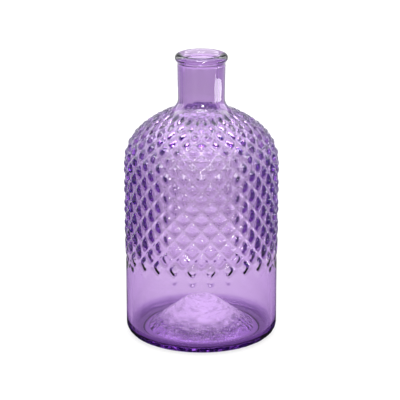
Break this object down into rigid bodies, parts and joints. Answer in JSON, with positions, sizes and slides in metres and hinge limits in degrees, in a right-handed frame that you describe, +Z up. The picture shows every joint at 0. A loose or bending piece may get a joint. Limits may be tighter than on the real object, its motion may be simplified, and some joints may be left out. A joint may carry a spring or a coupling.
{
  "type": "glass bottle",
  "caption": "Round mould-blown purple glass bottle with diamond bosses on wall and shoulder, a plain lower band, a pushed-up base, a short neck and a beaded lip; holds liquid or stems.",
  "frame": {"origin": "on the bottle's axis, in the plane of the ring that it stands on", "axes": "+Z up along the axis to the mouth, -Y towards the front of the picture, a column of bosses on the front"},
  "size_m": [0.1188, 0.119, 0.22],
  "materials": {
    "purple_glass": "clear, fire-polished gloss"
  },
  "bodies": {
    "root": {"push_up": "purple_glass", "heel": "purple_glass", "plain_band": "purple_glass", "diamond_wall": "purple_glass", "shoulder": "purple_glass", "neck": "purple_glass", "lip": "purple_glass"}
  },
  "joints": []
}
